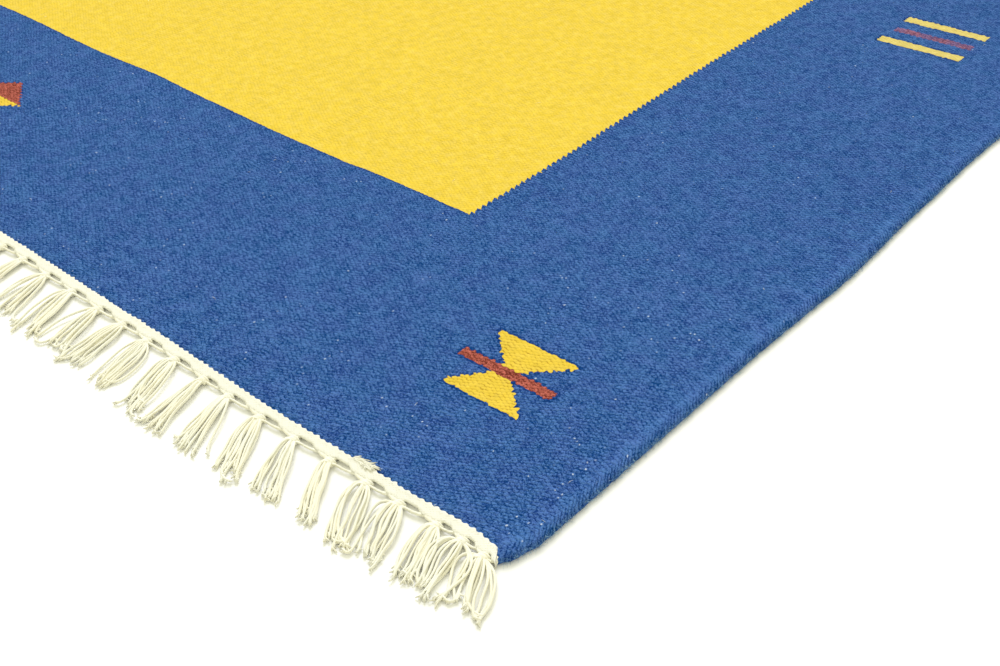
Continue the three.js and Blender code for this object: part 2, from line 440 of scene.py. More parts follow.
def cloth_caps(top_count, spans, rows, ring_size):
    """The cloth's two end faces, a strip of them from one lower column to the next."""
    def lower(column):
        return top_count + 1 + spans - column

    caps = []
    for span in range(spans):
        first = span * COLUMNS_A_SPAN
        face = list(range(first, first + COLUMNS_A_SPAN + 1))
        if span == spans - 1:
            face.append(top_count)
        face += [lower(span + 1), lower(span)]
        if span == 0:
            face.append(ring_size - 1)
        caps.append(face[::-1])
        caps.append([(rows - 1) * ring_size + i for i in face])
    return caps


def cloth_section():
    """The cloth cut across: each point's place and height, the top's points first."""
    insets, heights = np.array(SELVEDGE, float).T
    flat = np.linspace(-SELVEDGE_FROM, SELVEDGE_FROM, INNER_COLUMNS + 2)[1:-1]
    top = np.concatenate([insets - WIDTH / 2, flat, (WIDTH / 2 - insets)[::-1]])
    top_height = np.concatenate([heights, np.full(len(flat), CLOTH_THICKNESS), heights[::-1]])
    under = top[::COLUMNS_A_SPAN].copy()
    under[[0, -1]] = [UNDERSIDE_INSET - WIDTH / 2, WIDTH / 2 - UNDERSIDE_INSET]
    side, side_height = SIDE_POINT
    ring_u = np.concatenate([top, [WIDTH / 2 - side], under[::-1], [side - WIDTH / 2]])
    ring_z = np.concatenate([top_height, [side_height], 0 * under, [side_height]])
    return ring_u, ring_z, len(top)


def make_cloth(material):
    """The wool cloth: one sheet, with its rolled selvedges and its ends thinned to the band."""
    rng = np.random.default_rng(CLOTH_SEED)
    ring_u, ring_z, top_count = cloth_section()
    rows = cloth_rows()
    u, v = np.meshgrid(ring_u, rows)
    x, y = cloth_place(u, v)
    share_up = ring_z / CLOTH_THICKNESS
    end_fall = END_FALL * (1 - smooth((LENGTH / 2 - abs(v)) / END_FALL_REACH))
    z = ring_z - end_fall * share_up
    is_flat = (abs(u) < SELVEDGE_FROM) & (share_up > 0.5)
    z += np.where(is_flat, swell(x, y) + LUMP_FLAT * rng.uniform(-1, 1, u.shape), 0)
    for hand in (-1, 1):
        rolled = (hand * u > SELVEDGE_FROM) & (share_up > 0)
        lump = rng.uniform(-1, 1, (len(rows), 1))
        x += np.where(rolled, hand * LUMP_OUT * lump * (share_up < 1.01), 0)
        z += np.where(rolled & (share_up > 0.5), LUMP_UP * lump, 0)
    rings = np.stack([x, y, z], -1)
    spans = (top_count - 1) // COLUMNS_A_SPAN
    faces = loft(rings, capped=False) + cloth_caps(top_count, spans, len(rows), len(ring_u))
    weave = np.stack([u, v, 0 * u], -1)
    cloth = add_piece("cloth", rings.reshape(-1, 3), faces, material, {"weave": weave})
    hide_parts("rug_cloth")
    return cloth


# End bands, knots and fringe


def knot_places():
    """The distances of the knots from the near corner."""
    places = list(np.cumsum(FIRST_KNOT_GAPS))
    start = places[-1]
    left = KNOT_COUNT - len(places)
    for k in range(1, left + 1):
        shift = KNOT_SHIFT * uneven_by(k, 1) if k < left else 0
        places.append(start + (LAST_KNOT - start) * k / left + shift)
    return np.array(places, float)


KNOTS = knot_places()


def band_sway(x):
    return np.minimum(sway_at(END_SWAY, WIDTH / 2 - x), BAND_MAX_SWAY)


def knot_line(x):
    return -LENGTH / 2 - band_sway(x) - KNOT_OUT


def band_outer(x):
    """The band's outer edge, which draws back at the slot beside each knot."""
    at = WIDTH / 2 - np.asarray(x, float)
    edges = np.concatenate([[0], KNOTS, [WIDTH]])
    later = np.clip(np.searchsorted(edges, at), 1, len(edges) - 1)
    share = (at - edges[later - 1]) / (edges[later] - edges[later - 1])
    opens, opened, closes, closed = SLOT
    slot = smooth((share - opens) / (opened - opens)) * smooth((closed - share) / (closed - closes))
    return -LENGTH / 2 - band_sway(x) - lerp(BAND_OUT, BAND_OUT_AT_SLOT, slot)


def band_inner(x):
    slope = near_edge(x + 0.5) - near_edge(x - 0.5)
    return near_edge(x) - PIECE_GAP * np.hypot(1, slope)


def make_band(name, node, material, turned):
    """The cotton band: a strip of plain weave with a rib for each pair of warps."""
    rng = np.random.default_rng(BAND_SEED)
    x = np.linspace(-BAND_REACH, BAND_REACH, 1 + round(4 * BAND_REACH / WARP_PITCH))
    inner = band_inner(x)
    outer = np.minimum(band_outer(x), inner - BAND_LEAST_WIDTH)
    shares, heights = np.array(BAND_ROWS, float).T
    number = np.floor(x / TOOTH_PITCH).astype(int)
    length = rng.uniform(0.7, 1.3, number.max() - number.min() + 1)[number - number.min()]
    length *= smooth((BAND_REACH - abs(x)) / TOOTH_FADE)
    toothed = inner + TOOTH_LENGTH * length * np.abs(np.sin(math.pi * x / TOOTH_PITCH))
    y = lerp(toothed[:, None], outer[:, None], shares)
    z = np.broadcast_to(heights, y.shape).copy()
    column, row = np.indices(y.shape)
    woven = np.where((column // 2 + row) % 2 == 0, 1, -1)
    rough, rough_up = BAND_ROUGHNESS
    z += BAND_RIB * woven + rough_up * rng.uniform(-1, 1, y.shape)
    y = y + rough * rng.uniform(-1, 1, y.shape)
    foot = np.stack([inner, np.minimum(outer + BAND_UNDERCUT, inner - 0.5)], -1)
    y = np.concatenate([foot[:, :1], y, foot[:, 1:]], axis=1)
    z = np.concatenate([0 * foot[:, :1], z, 0 * foot[:, 1:]], axis=1)
    rings = np.stack([np.broadcast_to(x[:, None], y.shape), y, z], -1)
    points = rings.reshape(-1, 3)
    if turned:
        points = points * [-1, -1, 1]
    weave = np.stack([points[:, 0], points[:, 1], 0 * points[:, 0]], -1)
    band = add_piece(name, points, loft(rings), material, {"weave": weave})
    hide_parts(node)
    return band


def bezier(points, count):
    """Points on a curve from its first to its last control point, both included."""
    share = np.linspace(0, 1, count)[:, None]
    curve = [np.asarray(p, float) for p in points]
    while len(curve) > 1:
        curve = [lerp(a, b, share) for a, b in zip(curve, curve[1:])]
    return curve[0]


def add_core(bundle, centre, rng):
    """The knot's lumpy middle."""
    lift = np.linspace(-0.5, 0.5, KNOT_CORE_RINGS) * math.pi
    angle = TURN * np.arange(KNOT_CORE_SIDES) / KNOT_CORE_SIDES
    reach = np.maximum(np.cos(lift), 0.15)[:, None]
    lumps = 1 + 0.07 * rng.uniform(-1, 1, (KNOT_CORE_RINGS, KNOT_CORE_SIDES))
    wide, deep, high = KNOT_CORE
    x = centre[0] + wide * reach * np.cos(angle) * lumps
    y = centre[1] + deep * reach * np.sin(angle) * lumps
    z = np.broadcast_to((high * (1 + np.sin(lift)))[:, None], x.shape)
    rings = np.stack([x, y, z], -1)
    strands = np.stack([np.cos(angle) + 0 * x, np.sin(angle) + 0 * x, x], -1)
    bundle.add(rings, strands, loft(rings))


def add_knot(bundle, x, y, rng):
    """A knot: the lumpy middle, and the yarns that wrap over it."""
    add_core(bundle, (x, y), rng)
    for offset, slant in KNOT_WRAPS:
        angle = np.linspace(-0.1, math.pi + 0.1, WRAP_STEPS)
        slant = slant + rng.uniform(-0.5, 0.5)
        path = np.stack([
            x + WRAP_ACROSS * np.cos(angle),
            y - offset + slant * np.cos(angle) + 0.25 * rng.uniform(-1, 1),
            WRAP_FOOT + WRAP_RISE * np.sin(angle),
        ], -1)
        radii = np.full(WRAP_STEPS, YARN_RADIUS * rng.uniform(0.9, 1.08))
        bundle.tube(path, radii, WRAP_SIDES, reference=np.array([0.0, 1.0, 0.0]))


def way(degrees):
    """The direction on the floor this far round from straight out, towards the near corner."""
    angle = math.radians(degrees)
    return np.array([math.sin(angle), -math.cos(angle), 0])


def root_path(x, knot, is_far, rng):
    """The stretch of a yarn from the band's edge to its knot."""
    outer = float(band_outer(x))
    start = np.array([x, outer + 2.0, 2.4])
    if is_far:
        edge = np.array([lerp(x, knot[0], 0.1), outer - 0.9, 2.3])
        near = np.array([lerp(x, knot[0], 0.5), knot[1] + rng.uniform(-0.1, 0.5), 1.8])
    else:
        edge = np.array([lerp(x, knot[0], 0.12), outer - 0.6, 2.8])
        near = np.array([lerp(x, knot[0], 0.7), knot[1] + rng.uniform(0, 1.2), 3.0])
    return bezier([start, edge, near, knot + [0, 0.5, 2.7]], ROOT_STEPS)


def hanging_path(knot, fan, tassel, rng):
    """The stretch of a yarn from its knot to its tip on the floor."""
    lean, out, spread, fullness = tassel
    reach = out * (1 + 0.07 * rng.standard_normal())
    side = spread * (fan + 0.16 * rng.standard_normal())
    if rng.random() < STRAY_CHANCE:
        side += rng.choice([-1, 1]) * rng.uniform(0.5, 1.2) * spread
    layer = rng.uniform(0, PILE_HEIGHT)
    shoulder = fullness * rng.uniform(0.8, 1.2)
    tip = knot + [lean + (1.25 - 0.45 * fullness) * side, -reach, YARN_RADIUS]
    curve = [
        knot + [2.6 * fan, -1.0, 2.6],
        knot + [shoulder * side, -0.1 * reach, 2.8 + layer],
        knot + [0.42 * lean + (0.5 + 0.65 * fullness) * side, -0.5 * reach, 1.6 + layer],
        knot + [0.75 * lean + (0.8 + 0.3 * rng.uniform(-1, 1)) * side, -0.8 * reach, 0.6 + layer],
        tip,
    ]
    if rng.random() < HOOK_CHANCE:
        hook = rng.choice([-1, 1]) * rng.uniform(*HOOK_REACH)
        curve[4:] = [tip - [0, 3, 0], tip + [hook, rng.uniform(-2, 8), 0.8]]
    path = bezier(curve, YARN_STEPS)
    share = np.linspace(0, 1, YARN_STEPS)
    wave = rng.uniform(1.2, 2.6) * share + rng.random()
    path[:, 0] += rng.uniform(0.4, 1.2) * np.sin(TURN * wave) * share
    return path


def add_frays(bundle, path, rng):
    """The plies that come apart at a yarn's tip."""
    ahead = path[-1] - path[-4]
    heading = math.degrees(math.atan2(ahead[0], -ahead[1]))
    for _ in range(FRAYS):
        length = rng.uniform(*FRAY_LENGTH)
        start = path[-rng.integers(2, 5)] + [*(0.5 * rng.uniform(-1, 1, 2)), 0]
        turn = heading + 30 * rng.standard_normal()
        bend = turn + 60 * rng.standard_normal()
        middle = start + 0.5 * length * way(turn)
        end = middle + 0.5 * length * way(bend)
        middle[2] = rng.uniform(0.5, 2.4)
        end[2] = rng.uniform(0.3, 2.0)
        curve = bezier([start, middle, end], FRAY_STEPS)
        radii = np.linspace(*FRAY_RADII, FRAY_STEPS)
        curve[:, 2] = np.maximum(curve[:, 2], radii)
        bundle.tube(curve, radii, FRAY_SIDES)


def add_yarn(yarns, frays, root, is_far, knot, fan, tassel, rng):
    hanging = hanging_path(knot, fan, tassel, rng)
    path = np.concatenate([root_path(root, knot, is_far, rng)[:-1], hanging])
    radii = np.full(len(path), YARN_RADIUS * rng.uniform(0.85, 1.1))
    radii *= 1 + 0.05 * rng.uniform(-1, 1, len(path))
    radii[-2:] *= [0.9, 0.6]
    path[:, 2] = np.maximum(path[:, 2], radii)
    yarns.tube(path, radii, YARN_SIDES)
    add_frays(frays, path, rng)


def tassel_lie(number, place, rng):
    """How a tassel lies: its lean, its reach, its spread and how full its shoulders are."""
    fullness = rng.uniform(0.3, 1.0)
    if number < len(TASSELS):
        return TASSELS[number]
    lean = LEAN + LEAN_SWING * math.sin(place / LEAN_WAVE + LEAN_PHASE) + 3 * rng.standard_normal()
    out = USUAL_OUT + 2 * rng.standard_normal()
    return lean, out, USUAL_SPREAD + rng.standard_normal(), fullness


def make_fringe(end, material, turned, seed):
    """The knots of one end and the yarns that hang from them."""
    rng = np.random.default_rng(seed)
    knots, yarns, frays = Bundle(), Bundle(), Bundle()
    edges = np.concatenate([[0], KNOTS, [WIDTH]])
    for number, place in enumerate(KNOTS):
        x = WIDTH / 2 - place
        y = float(knot_line(x))
        before = place - edges[number]
        after = edges[number + 2] - place
        tassel = tassel_lie(number, place, rng)
        add_knot(knots, x, y, rng)
        fans = rng.permutation(np.linspace(-1, 1, len(YARN_ROOTS)))
        for share, fan in zip(YARN_ROOTS, fans):
            room = before if share > 0 else after
            root = min(x + share * room + rng.uniform(-0.6, 0.6), BAND_REACH - 3)
            knot = np.array([x, y, 0.0])
            add_yarn(yarns, frays, root, share > FAR_ROOT, knot, fan, tassel, rng)
    return [
        knots.piece(f"knots_{end}", material, "cotton", turned),
        yarns.piece(f"fringe_{end}", material, "cotton", turned),
        frays.piece(f"frays_{end}", material, "cotton", turned),
    ]


# Fuzz


def make_fuzz(material):
    """Short wool fibres that stand out from the selvedges."""
    rng = np.random.default_rng(FUZZ_SEED)
    bundle = Bundle()
    reach = LENGTH / 2 + FUZZ_PAST_END
    for side in (-1, 1):
        for _ in range(FUZZ_A_SIDE):
            y = rng.uniform(-reach, reach)
            edge = float(right_edge(y) if side > 0 else left_edge(y))
            length = rng.uniform(*FUZZ_LENGTH)
            low = rng.uniform(*FUZZ_HEIGHT)
            start = np.array([edge - side * (0.9 if low < 3.4 else 2.0), y, low])
            drift = rng.uniform(-0.9, 0.9)
            middle = start + [side * 0.9, 0.4 * drift * length, 0.2 * rng.uniform(-1, 1)]
            end = middle + [side * 0.6 * length, drift * length, 0.5 * rng.uniform(-1, 1)]
            end[2] = max(end[2], 0.1)
            curve = bezier([start, middle, end], 3)
            bundle.tube(curve, FUZZ_RADII, 3)
    return bundle.piece("selvedge_fuzz", material, "wool")


def add_tuft(bundle, rng):
    """A wisp of cotton that lies over the band's inner edge, on the wool."""
    for _ in range(TUFT_FIBRES):
        at = rng.uniform(*TUFT_PLACE)
        start = np.array([WIDTH / 2 - at, -LENGTH / 2 + rng.uniform(-2, 2), rng.uniform(4.2, 4.9)])
        length = rng.uniform(*TUFT_LENGTH)
        middle = start + 0.5 * length * way(105 + 25 * rng.standard_normal()) + [0, 0, 0.3]
        end = middle + 0.5 * length * way(95 + 35 * rng.standard_normal()) - [0, 0, 0.3]
        bundle.tube(bezier([start, middle, end], len(TUFT_RADII)), TUFT_RADII, 4)


def make_loose_fibres(material):
    """Stray cotton fibres caught on the wool."""
    rng = np.random.default_rng(LOOSE_SEED)
    bundle = Bundle()
    places = [(WIDTH / 2 - inward, along - LENGTH / 2) for inward, along in SEEN_FIBRES]
    for _ in range(LOOSE_FIBRES):
        x = rng.uniform(-WIDTH / 2 + 20, WIDTH / 2 - 20)
        y = rng.uniform(-LENGTH / 2 + 20, LENGTH / 2 - 20)
        places.append((x, y))
    for x, y in places:
        length = rng.uniform(*LOOSE_LENGTH)
        turn = rng.uniform(0, 360)
        start = np.array([x, y, CLOTH_THICKNESS + swell(x, y) + 0.4])
        middle = start + 0.5 * length * way(turn) + [0, 0, 0.25]
        end = middle + 0.5 * length * way(turn + rng.uniform(-70, 70)) - [0, 0, 0.25]
        bundle.tube(bezier([start, middle, end], len(LOOSE_RADII)), LOOSE_RADII, 4)
    add_tuft(bundle, rng)
    return bundle.piece("loose_fibres", material, "cotton")


# Materials


class Wire:
    """A socket of a material's node tree that can be added, multiplied and compared."""

    def __init__(self, net, socket):
        self.net = net
        self.socket = socket

    def __add__(self, other):
        return self.net.math("ADD", self, other)

    def __sub__(self, other):
        return self.net.math("SUBTRACT", self, other)

    def __rsub__(self, other):
        return self.net.math("SUBTRACT", other, self)

    def __mul__(self, other):
        return self.net.math("MULTIPLY", self, other)

    def __truediv__(self, other):
        return self.net.math("DIVIDE", self, other)

    def __lt__(self, other):
        return self.net.math("LESS_THAN", self, other)

    def __gt__(self, other):
        return self.net.math("GREATER_THAN", self, other)

    __radd__ = __add__
    __rmul__ = __mul__


class Net:
    """A material's node tree, written as sums."""

    def __init__(self, name):
        self.material = bpy.data.materials.new(name)
        self.material.use_nodes = True
        self.nodes = self.material.node_tree.nodes
        self.links = self.material.node_tree.links
        self.nodes.clear()

    def put(self, socket, value):
        if isinstance(value, Wire):
            self.links.new(value.socket, socket)
        elif isinstance(value, (int, float)):
            socket.default_value = value
        else:
            size = len(socket.default_value)
            socket.default_value = (*value, 1.0)[:size]

    def math(self, operation, *values):
        node = self.nodes.new("ShaderNodeMath")
        node.operation = operation
        for socket, value in zip(node.inputs, values):
            self.put(socket, value)
        return Wire(self, node.outputs[0])

    def absolute(self, value):
        return self.math("ABSOLUTE", value)

    def nearest(self, value):
        return self.math("ROUND", value)

    def both(self, first, *others):
        for other in others:
            first = self.math("MULTIPLY", first, other)
        return first

    def either(self, first, *others):
        for other in others:
            first = self.math("MAXIMUM", first, other)
        return first

    def ramp(self, value, low, high, start=0.0, end=1.0, soft=True):
        """The value between low and high, brought to lie between start and end."""
        node = self.nodes.new("ShaderNodeMapRange")
        node.interpolation_type = "SMOOTHSTEP" if soft else "LINEAR"
        for socket, given in zip(node.inputs, (value, low, high, start, end)):
            self.put(socket, given)
        return Wire(self, node.outputs[0])

    def choose(self, share, first, second, kind="FLOAT"):
        """The first value where share is 0, the second where it is 1."""
        node = self.nodes.new("ShaderNodeMix")
        node.data_type = kind
        names = {"FLOAT": (0, 2, 3, 0), "VECTOR": (0, 4, 5, 1), "RGBA": (0, 6, 7, 2)}[kind]
        self.put(node.inputs[names[0]], share)
        self.put(node.inputs[names[1]], first)
        self.put(node.inputs[names[2]], second)
        return Wire(self, node.outputs[names[3]])

    def tint(self, colour, share):
        """A colour made lighter or darker by a share."""
        node = self.nodes.new("ShaderNodeVectorMath")
        node.operation = "SCALE"
        self.put(node.inputs[0], colour)
        self.put(node.inputs["Scale"], share)
        return Wire(self, node.outputs[0])

    def vector(self, x, y, z=0.0):
        node = self.nodes.new("ShaderNodeCombineXYZ")
        for socket, value in zip(node.inputs, (x, y, z)):
            self.put(socket, value)
        return Wire(self, node.outputs[0])

    def parts(self, vector):
        node = self.nodes.new("ShaderNodeSeparateXYZ")
        self.put(node.inputs[0], vector)
        return [Wire(self, socket) for socket in node.outputs]

    def mark(self, name):
        node = self.nodes.new("ShaderNodeAttribute")
        node.attribute_name = name
        return self.parts(Wire(self, node.outputs["Vector"]))

    def place(self):
        """The point in millimetres."""
        node = self.nodes.new("ShaderNodeTexCoord")
        return self.tint(Wire(self, node.outputs["Object"]), 1 / MM)

    def noise(self, vector, size, detail=1.0, roughness=0.5):
        """Three smooth random values, around a half, with lumps of this size."""
        node = self.nodes.new("ShaderNodeTexNoise")
        self.put(node.inputs["Vector"], vector)
        node.inputs["Scale"].default_value = 1 / size
        node.inputs["Detail"].default_value = detail
        node.inputs["Roughness"].default_value = roughness
        return self.parts(Wire(self, node.outputs["Color"]))

    def chance(self, vector):
        """Three random values from 0 to 1 that differ from cell to cell."""
        node = self.nodes.new("ShaderNodeTexWhiteNoise")
        node.noise_dimensions = "3D"
        self.put(node.inputs["Vector"], vector)
        return Wire(self, node.outputs["Color"])

    def bump(self, height, depth, strength=1.0):
        node = self.nodes.new("ShaderNodeBump")
        node.inputs["Strength"].default_value = strength
        node.inputs["Distance"].default_value = depth * MM
        self.put(node.inputs["Height"], height)
        return Wire(self, node.outputs[0])

    def finish(self, colour, normal, **settings):
        shader = self.nodes.new("ShaderNodeBsdfPrincipled")
        output = self.nodes.new("ShaderNodeOutputMaterial")
        self.put(shader.inputs["Base Color"], colour)
        if normal is not None:
            self.put(shader.inputs["Normal"], normal)
        for name, value in settings.items():
            self.put(shader.inputs[name.replace("_", " ")], value)
        self.links.new(shader.outputs[0], output.inputs[0])
        return self.material


# Colours. A pair goes from the deepest shade to the palest.
BLUE = ((0.0010, 0.0410, 0.182), (0.082, 0.198, 0.480))
VIOLET_BLUE = ((0.0060, 0.0370, 0.186), (0.089, 0.189, 0.485))
RED = ((0.145, 0.025, 0.015), (0.58, 0.157, 0.115))
CREAM = (0.895, 0.88, 0.755)
WARM_CREAM = (0.90, 0.87, 0.71)
LINT = (0.48, 0.56, 0.70)
FUZZ = ((0.12, 0.28, 0.52), (0.42, 0.64, 0.78))
FLOOR = ((0.93, 0.93, 0.93), (0.95, 0.95, 0.95))

# Each yellow: its colour, its deeper colour between the loops, which is painted shade, and the
# share of that, and the colour of its loose fibres and the share of that.
YELLOW = ((0.72, 0.515, 0.048), (0.62, 0.36, 0.02), 0.3, (0.78, 0.62, 0.20), 1.0)
MOTIF_YELLOW = ((0.69, 0.485, 0.048), (0.45, 0.22, 0.010), 1.0, (0.80, 0.63, 0.18), 0.5)
BAR_YELLOW = ((0.60, 0.48, 0.135), (0.50, 0.34, 0.06), 0.6, (0.76, 0.66, 0.30), 1.0)

# The wool's shade between the deepest and the palest: its middle, and what each kind of
# unevenness, among them the painted shade in the pores between the loops and the painted
# highlight on their tops, the painted highlight along the ridge of the selvedge, a seam and the
# outline of a mark change in it. The ridge lies this far in from the side and reaches this far
# to either side of its line.
SHADE = 0.29
BY_CLUMPS = 1.4
BY_FIBRES = 1.8
BY_LOOP = 0.4
BY_HAIRS = 0.6
BY_PORE_SHADE = 0.75
BY_PATCHES = 0.35
BY_RIDGE_HIGHLIGHT = 0.2
BY_SEAM = 0.3
BY_OUTLINE = 0.6
RIDGE_IN = 9
RIDGE_REACH = 6

# Specks of lint: how rare they are near the ends, far from them and between their clusters, how
# far in from the ends that changes, how large the clusters are, and a speck's radius as a share
# of its loop.
LINT_RARITY = (0.958, 0.996, 0.998)
LINT_REACH = (180, 420)
LINT_CLUSTER = 60
LINT_RADIUS = 0.2

# The weave's loops turn cream this far beyond the cloth's end
CREAM_BEYOND = 0.1


def loops(net, u, v, parity):
    """The loops of weft over every second warp: where the nearest one is, and how high."""
    column = (u / WARP_PITCH - parity) / 2
    column_number = net.nearest(column)
    across_it = (column - column_number) * 2
    drawn = net.parts(net.chance(net.vector(column_number, parity + 7.5)))[0]
    shift = COLUMN_SHIFT * (drawn - 0.5)
    row = v / LOOP_PITCH + 0.5 * parity + shift
    row_number = net.nearest(row)
    along_it = row - row_number
    chance = net.chance(net.vector(column_number, row_number, parity + 0.5))
    height = 1 - LOOP_FALL_ACROSS * across_it * across_it - LOOP_FALL_ALONG * along_it * along_it
    height = height + LOOP_UNEVENNESS * (net.parts(chance)[0] - 0.5)
    centre = net.vector(
        (2 * column_number + parity) * WARP_PITCH,
        (row_number - 0.5 * parity - shift) * LOOP_PITCH,
        across_it * across_it + along_it * along_it,
    )
    return height, centre, chance


def within(net, value, centre, half):
    return net.absolute(value - centre) < half


def wedge(net, out, distance, shape, grow):
    """A stepped triangle, from its narrow end on, made larger all round by grow."""
    length, narrow, widening, widest = shape
    half = net.math("FLOOR", distance / STEP_UP) * widening + narrow
    half = net.math("MINIMUM", half, widest)
    return net.both(distance > -grow, distance < length + grow, out < half + grow)


def field_share(net, u, v, even_v):
    """The yellow field, and the thin seam of shade along its edges."""
    inward = WIDTH / 2 - net.absolute(u)
    along = LENGTH / 2 - net.absolute(even_v)
    saw = net.math("FRACT", v / (2 * LOOP_PITCH))
    side = SIDE_BORDER - FIELD_TOOTH_OUT + FIELD_TOOTH * saw
    field = net.both(inward > side, along > END_BORDER)
    out, half = END_SEAM
    end_seam = net.both(inward > side, within(net, along, END_BORDER - out, half))
    out, half = SIDE_SEAM
    side_seam = net.both(along > END_BORDER, within(net, inward, side - out, half), saw > 0.5)
    return field, net.either(end_seam, side_seam)


def marks(net, u, v, grow=0.0):
    """The small inwoven marks: the yellow ones, the red ones, the bars and the faded lines."""
    inward = WIDTH / 2 - net.absolute(u)
    along = LENGTH / 2 - net.absolute(v)
    out = net.absolute(inward - UPPER_IN)
    upper = wedge(net, out, along - UPPER_FROM, UPPER_TRIANGLE, grow)
    down = LOWER_FROM - along
    lower_out = net.absolute(inward + LOWER_STRAY * down - LOWER_IN)
    lower = wedge(net, lower_out, down, LOWER_TRIANGLE, grow)
    bar_along, bar_length, bar_width = CORNER_BAR
    bar = net.both(out < bar_length + grow, within(net, along, bar_along, bar_width + grow))

    height = along - DIAMOND_FROM_END
    beside = net.absolute(u + DIAMOND_ASIDE * net.math("SIGN", v))
    diamond = wedge(net, beside, DIAMOND_HALF - net.absolute(height), DIAMOND, grow)

    from_middle = net.absolute(along - BARS_FROM_END)
    length, width = BARS_HALF
    bar_pair = within(net, from_middle, BAR_FROM_MIDDLE, width + grow)
    bars = net.both(within(net, inward, BARS_IN, length + grow), bar_pair)
    length, width = LINE_HALF
    red_line = net.both(within(net, inward, LINE_IN, length), from_middle < width)
    yellows = net.either(upper, lower, net.both(diamond, height < 0))
    reds = net.either(bar, net.both(diamond, height > 0))
    return yellows, reds, bars, red_line


def weave_place(net, place):
    """Where a point lies in the weave, whose rows and columns wander a little."""
    u, v, _ = net.mark("weave")
    wander = net.noise(place, WANDER_SIZE, 1)
    curl = net.noise(place, CURL_SIZE, 1)
    drawn = net.ramp(net.absolute(u), SELVEDGE_FROM, WIDTH / 2, 0, -SELVEDGE_DRAW, soft=False)
    u = u + drawn * net.math("SIGN", u) + WANDER * (wander[0] - 0.5) + CURL_ACROSS * (curl[0] - 0.5)
    v = v + WANDER * (wander[1] - 0.5) + CURL_ALONG * (curl[1] - 0.5)
    return u, v


def nearest_loop(net, u, v):
    """The higher loop at a point: its height there, its centre and its random values."""
    even_height, even_centre, even_chance = loops(net, u, v, 0)
    odd_height, odd_centre, odd_chance = loops(net, u, v, 1)
    is_odd = odd_height > even_height
    height = net.either(even_height, odd_height)
    centre = net.parts(net.choose(is_odd, even_centre, odd_centre, "VECTOR"))
    chance = net.parts(net.choose(is_odd, even_chance, odd_chance, "RGBA"))
    return height, centre, chance


def hair_lines(net, value):
    """Thin lines that wander over the cloth as loose hairs do."""
    return net.ramp(net.absolute(value - 0.5), 0, 0.05, 1, 0)


def lint(net, place, v, chance, from_centre):
    """How white each loop's speck of lint is. Few loops have one, and more near the ends."""
    near_ends, far_in, between = LINT_RARITY
    rarity = net.ramp(LENGTH / 2 - net.absolute(v), *LINT_REACH, near_ends, far_in)
    rarity = net.ramp(net.noise(place, LINT_CLUSTER, 1)[2], 0.45, 0.72, between, rarity)
    speck = net.both(chance[2] > rarity, from_centre < LINT_RADIUS ** 2)
    return speck * chance[0]


def wool_texture(net, place, loop_top_light, chance, fibres, clumps, patches):
    """How much lighter or darker the unevenness and the painted loop shade make the wool."""
    tangle = net.noise(place, 2.3, 1)
    hairs = hair_lines(net, tangle[0]) + hair_lines(net, tangle[1])
    texture = BY_CLUMPS * (clumps[0] - 0.5) + BY_FIBRES * (fibres[0] - 0.5)
    texture = texture + BY_LOOP * (chance[1] - 0.5) + BY_HAIRS * (hairs - 0.3)
    return texture + BY_PORE_SHADE * (loop_top_light - 0.7) + BY_PATCHES * (patches[0] - 0.5)


def blue_wool(net, shade, patches, clumps):
    """Blue from its deepest shade to its palest, more violet in patches."""
    violet = net.ramp(patches[1] + 0.5 * (clumps[2] - 0.5), 0.3, 0.7)
    deep = net.choose(violet, BLUE[0], VIOLET_BLUE[0], "RGBA")
    pale = net.choose(violet, BLUE[1], VIOLET_BLUE[1], "RGBA")
    return net.choose(shade, deep, pale, "RGBA")


def yellow_wool(net, dye, hollow_shade, loose, soft_light):
    """A yellow with painted shade between the loops and paler where fibres lie loose."""
    colour, hollow_shade_colour, hollow_shade_share, loose_colour, loose_share = dye
    colour = net.choose(hollow_shade * hollow_shade_share, colour, hollow_shade_colour, "RGBA")
    colour = net.choose(loose * loose_share, colour, loose_colour, "RGBA")
    return net.tint(colour, soft_light)


def wool_relief(net, height, yellow, fibres, clumps):
    """The loops, clumps and fibres, half as high where the wool is yellow."""
    relief = height + 0.9 * (clumps[1] - 0.5) + 0.6 * (fibres[2] - 0.5)
    return net.bump(relief * net.choose(yellow, 1.0, 0.5), 0.8, 1.0)


